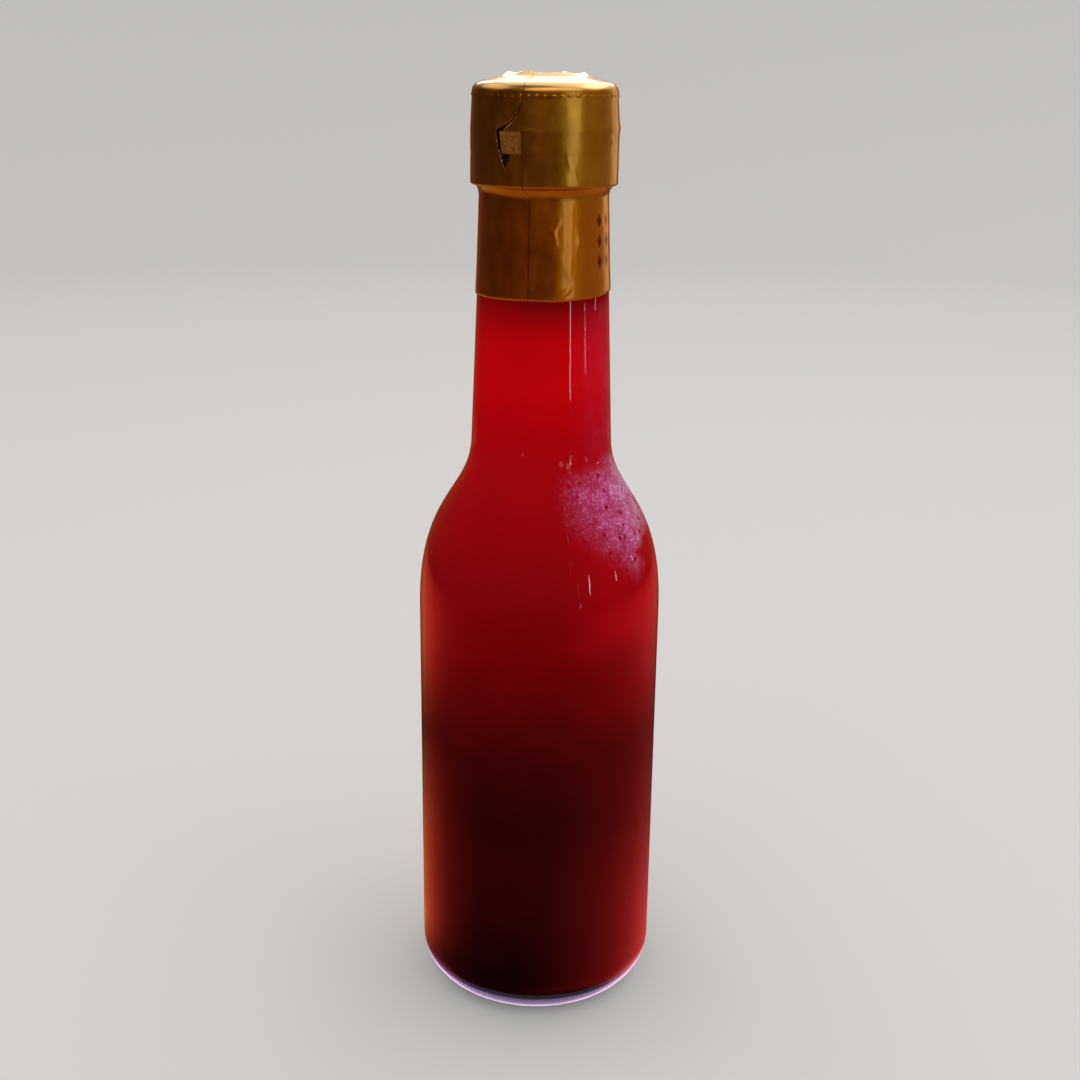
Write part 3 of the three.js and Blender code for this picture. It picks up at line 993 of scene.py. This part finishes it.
def mist_finish():
    made, tree, shader, _ = new_material("cold_mist")
    where = place(tree)
    area = mist_area(tree, where["Angle"], where["Height"])
    clouds = mottle(tree, 3.2, tallness=0.8, detail=4, low=0.36, high=0.62)["Mask"]
    body = maths(tree, "MULTIPLY_ADD", clouds, 0.6, 0.4)
    point = add(tree, "TexCoord").outputs["Object"]
    crowd = add(tree, "TexVoronoi", Vector=point, Scale=DROP_CROWD).outputs
    drop = fade(tree, crowd["Distance"], 0.6, 0.25)
    fullness = add(tree, "SeparateColor", Color=crowd["Color"]).outputs[0]
    drops = maths(tree, "MULTIPLY_ADD", times(tree, drop, fullness), 0.45, 0.42)
    holes = add(tree, "TexVoronoi", Vector=point, Scale=HOLE_CROWD).outputs
    around_hole = fade(tree, holes["Distance"], 0.16, 0.26)
    # painted highlight on the right of the mist
    painted_highlight = times(tree, fade(tree, where["Angle"], 48, 82), MIST_HIGHLIGHT_SHARE)
    give(
        tree, shader, Alpha=times(tree, area, body, drops, around_hole), Roughness=0.5,
        Base_Color=blend_colours(tree, painted_highlight, blend_colours(tree, drop, *MIST_TONES), MIST_HIGHLIGHT),
    )
    return made


finished("shoulder_mist", mist_shape, mist_finish(), wall=MIST_FILM)

# %% [markdown]
# ## Drops on the glass
# In places the mist has gathered into drops that stand out from the glass, and two have run down it. A
# drop is a ball pressed flat against the wall, half of it sunk in. The larger ones have their own places, and
# the fine ones are scattered from a fixed seed, so that they fall the same way each time.

# %% Shape of the drops
# Larger drops as (angle from the front, height, radius, length down the glass), lengths in mm
DROPS = [
    (63.6, 116.5, 0.42, 0.42), (61.6, 110.8, 0.45, 0.5), (43.0, 108.4, 0.55, 0.6), (49.6, 106.8, 0.5, 0.55),
    (44.5, 105.3, 0.42, 0.42), (33.8, 109.3, 0.38, 0.38), (38.8, 109.9, 0.42, 0.45), (50.8, 108.7, 0.4, 0.4),
    (21.4, 120.8, 0.5, 0.8), (15.8, 121.3, 0.45, 0.65), (24.3, 122.7, 0.4, 0.4), (-14.3, 123.2, 0.4, 0.32),
    (22.6, 119.6, 0.28, 0.28), (19.0, 95.0, 0.28, 0.5),
]
# Runs as (angle, height at the top and the bottom), each left behind as a row of fine drops
RUNS = [(15.4, 114, 101), (18.6, 101, 94)]
RUN_SPACING = 0.75
FINE_DROPS = 70
FINE_SEED = 7
FINE_ANGLES, FINE_HEIGHTS = (14, 72), (98, 119)
FINE_EDGE, FINE_SLOPE = 116, 0.28  # they lie above a line that falls to the right
DROP_FLATNESS = 0.45

glass_rise = [p for p in glass_side if p.y > HEEL]


def on_glass(angle, height):
    """A matrix for a place on the outside of the glass: Z points away from the wall and Y up along it."""
    spot, slope = at_height(glass_rise, height)
    out = outwards(angle)
    away = out * slope.y - Vector((0, 0, slope.x))
    up = out * slope.x + Vector((0, 0, slope.y))
    turn = Matrix((up.cross(away), up, away)).transposed().to_4x4()
    return Matrix.Translation(out * spot.x + Vector((0, 0, spot.y))) @ turn


scatter = random.Random(FINE_SEED)
fine = []
while len(fine) < FINE_DROPS:
    angle, height = scatter.uniform(*FINE_ANGLES), scatter.uniform(*FINE_HEIGHTS)
    if height > FINE_EDGE - FINE_SLOPE * angle:
        radius = scatter.uniform(0.08, 0.2)
        fine.append((angle, height, radius, radius))
for angle, top, bottom in RUNS:
    for i in range(int((top - bottom) / RUN_SPACING)):
        radius = scatter.uniform(0.05, 0.13)
        height = top - RUN_SPACING * (i + scatter.uniform(0, 0.9))
        fine.append((angle + scatter.uniform(-0.6, 0.6), height, radius, radius * scatter.uniform(1, 2.2)))

drops_shape = bmesh.new()
for angle, height, radius, length in DROPS + fine:
    stretch = Matrix.Diagonal((radius * MM, length * MM, radius * DROP_FLATNESS * MM, 1))
    bmesh.ops.create_uvsphere(
        drops_shape, u_segments=8, v_segments=6, radius=1, matrix=on_glass(angle, height * MM) @ stretch,
    )
bmesh.ops.recalc_face_normals(drops_shape, faces=drops_shape.faces)
print("drops:", len(DROPS), "large,", len(fine), "fine")

# %% [markdown]
# Water is clear like glass and bends light a little less. A faint smear makes its highlights differ.

# %% Finish of the drops
def water_finish():
    made, tree, shader, _ = new_material("water_drops")
    smear = mottle(tree, 0.6, detail=2)["Mask"]
    give(
        tree, shader, Base_Color=(1, 0.96, 0.98, 1), Transmission_Weight=1.0, IOR=1.33,
        Roughness=maths(tree, "MULTIPLY", smear, 0.08),
    )
    return made


drops_piece = finished("glass_drops", drops_shape, water_finish())

# %% [markdown]
# ## Studio
# A pale floor curves up into a pale wall all round, far enough away that the camera can go round the bottle.
# Mirror reflections leave the wall out, as black card round the set would, so the glass and the gold keep
# their dark sides.

# %% Floor
FLOOR_RADIUS = 1.3
COVE = 0.6

floor_profile = joined(
    straight((0, 0), (FLOOR_RADIUS, 0), 4),
    arc((FLOOR_RADIUS, COVE), COVE, -90, 0, 16),
    straight((FLOOR_RADIUS + COVE, COVE), (FLOOR_RADIUS + COVE, 2.5)),
)
floor_shape = turned(floor_profile, 96)
for face in floor_shape.faces:
    face.smooth = True
floor_finish, floor_tree, floor_shader, floor_output = new_material("pale_floor")
give(floor_tree, floor_shader, Base_Color=(0.78, 0.77, 0.76, 1), Roughness=0.9, Specular_IOR_Level=0.0)
FLOOR_GLOW = 0.45  # the brightness that light bouncing round the set finds on floor and wall
steady = add(floor_tree, "Emission", Color=(1, 0.99, 0.97, 1), Strength=FLOOR_GLOW)
bounced = add(floor_tree, "LightPath").outputs["Is Diffuse Ray"]
mix_shaders(floor_tree, floor_output, bounced, floor_shader, steady)
floor = new_object("floor", floor_shape, floor_finish)
floor.visible_glossy = False
print("floor radius:", FLOOR_RADIUS)

# %% [markdown]
# Each lamp has one task, and light linking keeps it to its own pieces. A large panel overhead lights the
# whole set. Panels that the film alone sees draw the bright crown and the upright bands on the gold, and two
# warm sheets at the foot of the bottle give its dark side a glow, as a table would. Small upright lamps draw
# the streaks on the wet glass, and lilac discs under the base light its rim.

# %% Lights
def shine_only_on(lamp, pieces):
    """Links a lamp to the pieces that it lights."""
    lit = bpy.data.collections.new(lamp.name + "_lights")
    for piece in pieces:
        lit.objects.link(piece)
    lamp.light_linking.receiver_collection = lit


def panel(name, angle, distance, height, size, radiance, tint, aim, only=()):
    """A rectangular lamp at an angle from the front, aimed at a height on the bottle's axis."""
    data = bpy.data.lights.new(name, "AREA")
    data.shape = "RECTANGLE"
    data.size, data.size_y = size
    data.energy = radiance * math.pi * size[0] * size[1]
    data.color = tint
    lamp = bpy.data.objects.new(name, data)
    lamp.location = outwards(angle) * distance + Vector((0, 0, height))
    towards = Vector((0, 0, aim)) - lamp.location
    lamp.rotation_euler = towards.to_track_quat("-Z", "Y").to_euler()
    lamp.visible_camera = False
    if only:
        shine_only_on(lamp, only)
    bpy.context.collection.objects.link(lamp)
    return lamp


WHITE = (1, 1, 1)
CREAM = (1, 0.88, 0.6)
STRAW = (0.86, 1.0, 0.6)
HONEY = (1, 0.78, 0.34)
LEMON = (1, 0.7, 0.15)
AMBER = (1.0, 0.5, 0.1)
RUBY = (1.0, 0.2, 0.08)
LILAC = (0.74, 0.56, 1.0)
film = [capsule_piece, tab_piece]
wet = [glass_piece, drops_piece]

overhead = panel("overhead", 100, 0.15, 1.7, (2.6, 2.6), 1.35, WHITE, 0.1)
overhead.visible_glossy = False
# Angle, distance, height, width and height of the panel, radiance, tint, the height it faces, what it lights
PANELS = {
    "crown_panel": (150, 0.35, 1.2, (1.6, 1.2), 1.1, CREAM, 0.19, [*film, drops_piece]),
    "back_panel": (178, 1.2, 0.85, (1.3, 0.6), 1.9, WHITE, 0.19, film),
    "rim_panel": (16, 0.9, 1.0, (2.0, 0.5), 2.2, CREAM, 0.19, film),
    "left_rim": (-105, 0.8, 0.85, (1.0, 0.5), 1.3, CREAM, 0.19, film),
    "right_rim": (112, 0.8, 0.9, (0.9, 0.5), 2.6, CREAM, 0.19, film),
    "right_card": (95, 0.8, 0.2, (1.0, 0.7), 0.22, LEMON, 0.2, film),
    "right_panel": (138, 0.75, 0.3, (0.35, 0.5), 0.75, HONEY, 0.3, film),
    "band_panel": (44, 0.42, 0.2, (0.15, 0.22), 1.2, STRAW, 0.2, film),
    "warm_card": (0, 0.6, 0.232, (0.36, 0.05), 0.3, AMBER, 0.232, film),
    "table_glow": (0, 0.001, 0.001, (0.8, 0.8), 0.39, AMBER, 0.1, film),
    "table_red": (0, 0.001, 0.002, (2.4, 2.4), 0.05, RUBY, 0.1, film),
    "streak_a": (47, 0.4, 0.114, (0.007, 0.07), 8, WHITE, 0.114, wet),
    "streak_b": (76, 0.4, 0.104, (0.006, 0.036), 6, WHITE, 0.104, wet),
    "streak_c": (101, 0.4, 0.118, (0.01, 0.016), 7, LILAC, 0.118, wet),
}
for name, values in PANELS.items():
    panel(name, *values)
for name, width, radiance in (("base_glow", 0.051, 1.5), ("base_fringe", 0.057, 0.32)):
    base_lamp = panel(name, 0, 0.0, 0.0002, (width, width), radiance, LILAC, 0.1, [glass_piece])
    base_lamp.data.shape = "DISK"
    base_lamp.visible_transmission = False
print("lamps:", len(bpy.data.lights))

# %% [markdown]
# Beyond the lamps the room is dark and warm, and darkest towards the table. Only behind the bottle is it a
# little lighter, which draws a thin rim along the sides of the glass.

# %% Room
ROOM = (0.066, 0.033, 0.017, 1)
TABLE = (0.007, 0.004, 0.004, 1)
BACKLIGHT = [(0.35, (0.20, 0.06, 0.02)), (0.65, (0.20, 0.06, 0.04))]  # from the left to the right

world = bpy.data.worlds.new("studio")
bpy.context.scene.world = world
world.use_nodes = True
world_tree = world.node_tree
sky = next(n for n in world_tree.nodes if n.type == "BACKGROUND")
direction = add(world_tree, "TexCoord").outputs["Generated"]
x, y, z = add(world_tree, "SeparateXYZ", Vector=direction).outputs
room = blend_colours(world_tree, fade(world_tree, z, -0.3, -0.03), TABLE, ROOM)
behind = times(world_tree, fade(world_tree, y, 0.6, 0.95), fade(world_tree, z, -0.36, -0.27))
rightwards = maths(world_tree, "MULTIPLY_ADD", x, 0.5, 0.5)
room = blend_colours(world_tree, behind, room, colour_ramp(world_tree, rightwards, BACKLIGHT))
give(world_tree, sky, Color=room, Strength=1.0)
print("room:", len(world_tree.nodes), "nodes")

# %% [markdown]
# In the photograph the sides of the bottle glow red and orange, because glass seen at a slant mirrors what
# stands behind it. A bowl under the floor carries these glows, and light linking lets the glass alone see it,
# so that the gold of the capsule keeps its own colour. Lamps would show as rectangles with hard borders.

# %% Colours of the glows
# Each glow: its colours from the front of the room to the back, and its strength from low to high
LEFT_GLOW = [
    (0.275, (0.0, 0.0, 0.0)),
    (0.555, (0.34, 0.017, 0.010)),
    (0.775, (0.68, 0.054, 0.027)),
    (0.890, (0.45, 0.090, 0.023)),
    (0.925, (0.30, 0.045, 0.015)),
    (0.960, (0.05, 0.004, 0.003)),
]
LEFT_STRENGTH = [
    (0.00, 0.0), (0.20, 0.15), (0.35, 0.17), (0.42, 0.30), (0.476, 1.0), (0.557, 0.78), (0.643, 0.15),
    (0.686, 0.45), (0.73, 0.90), (0.771, 1.0), (0.83, 0.90), (0.90, 0.75), (0.96, 0.45), (1.00, 0.0),
]
RIGHT_GLOW = [
    (0.065, (0.00, 0.000, 0.000)),
    (0.120, (0.17, 0.005, 0.005)),
    (0.275, (0.50, 0.015, 0.015)),
    (0.555, (0.95, 0.030, 0.030)),
    (0.775, (0.85, 0.050, 0.046)),
    (0.890, (0.42, 0.050, 0.040)),
    (0.925, (0.30, 0.030, 0.025)),
    (0.960, (0.05, 0.004, 0.003)),
]
RIGHT_STRENGTH = [
    (0.00, 0.0), (0.07, 0.25), (0.20, 0.95), (0.286, 1.1), (0.476, 1.0), (0.557, 0.48), (0.643, 0.26),
    (0.686, 0.40), (0.73, 0.65), (0.771, 0.75), (0.83, 0.70), (0.90, 0.60), (0.96, 0.35), (1.00, 0.0),
]
GLOW_LOW, GLOW_HIGH = -0.85, -0.15  # the downward directions between which the glows lie
HEEL_GLOWS = [(0.16, 0.035, 0.065, 1), (0.12, 0.12, 0.12, 1)]  # at the left and at the right
HEEL_STRENGTH = [(0.0, 0.0), (0.07, 1.0), (0.30, 1.0), (0.44, 0.0)]
GLOW_POWER = 2.2
print("glows:", len(LEFT_GLOW), "stops on the left and", len(RIGHT_GLOW), "on the right")

# %% [markdown]
# The bowl is the lower half of a large ball. Its colours belong to places on the bowl, so they stay where
# they are when the camera moves. What it gives off is added to what lies behind it, so it hides nothing.

# %% Bowl of glows
BOWL_RADIUS = 3.0
SIDE_BLEND = 0.3 * BOWL_RADIUS  # how gently the left glow turns into the right one

bowl_form = bmesh.new()
bmesh.ops.create_uvsphere(bowl_form, u_segments=64, v_segments=32, radius=BOWL_RADIUS)
upper_half = [vertex for vertex in bowl_form.verts if vertex.co.z > 0.001]
bmesh.ops.delete(bowl_form, geom=upper_half, context="VERTS")

bowl_finish = bpy.data.materials.new("glow_bowl")
bowl_finish.use_nodes = True
bowl_finish.cycles.emission_sampling = "NONE"
bowl_tree = bowl_finish.node_tree
bowl_tree.nodes.clear()
x, y, z = add(bowl_tree, "SeparateXYZ", Vector=add(bowl_tree, "TexCoord").outputs["Object"]).outputs
back_share = maths(bowl_tree, "MULTIPLY_ADD", y, 0.5 / BOWL_RADIUS, 0.5)
span = GLOW_HIGH - GLOW_LOW
rise = maths(bowl_tree, "MULTIPLY_ADD", z, 1 / (BOWL_RADIUS * span), -GLOW_LOW / span, clamp=True)
side = fade(bowl_tree, x, -SIDE_BLEND, SIDE_BLEND)


def strength_at(height, stops):
    return colour_ramp(bowl_tree, height, [(at, (value, value, value)) for at, value in stops])


glows = []
for tones, strengths in ((LEFT_GLOW, LEFT_STRENGTH), (RIGHT_GLOW, RIGHT_STRENGTH)):
    tone = colour_ramp(bowl_tree, back_share, tones)
    glows.append(blend_colours(bowl_tree, 1.0, tone, strength_at(rise, strengths), "MULTIPLY"))
glow = blend_colours(bowl_tree, side, *glows)
heel_share = times(bowl_tree, strength_at(rise, HEEL_STRENGTH), fade(bowl_tree, back_share, 0.5, 0.7))
glow = blend_colours(bowl_tree, heel_share, glow, blend_colours(bowl_tree, side, *HEEL_GLOWS), "ADD")
both = add(bowl_tree, "AddShader")
fill(bowl_tree, both.inputs[0], add(bowl_tree, "Emission", Color=glow, Strength=GLOW_POWER).outputs[0])
fill(bowl_tree, both.inputs[1], add(bowl_tree, "BsdfTransparent").outputs[0])
add(bowl_tree, "OutputMaterial", Surface=both.outputs[0])

bowl = new_object("glow_bowl", bowl_form, bowl_finish)
for rays in ("camera", "diffuse", "transmission", "volume_scatter", "shadow"):
    setattr(bowl, "visible_" + rays, False)
shine_only_on(bowl, [glass_piece])
print("glow bowl:", len(bowl.data.polygons), "faces")

# %% [markdown]
# ## Picture
# The standard view shows the colours as they were mixed, without a film's curve laid over them.

# %% Picture settings
view = bpy.context.scene.view_settings
view.view_transform = "Standard"
view.look = "None"
print("view:", view.view_transform)
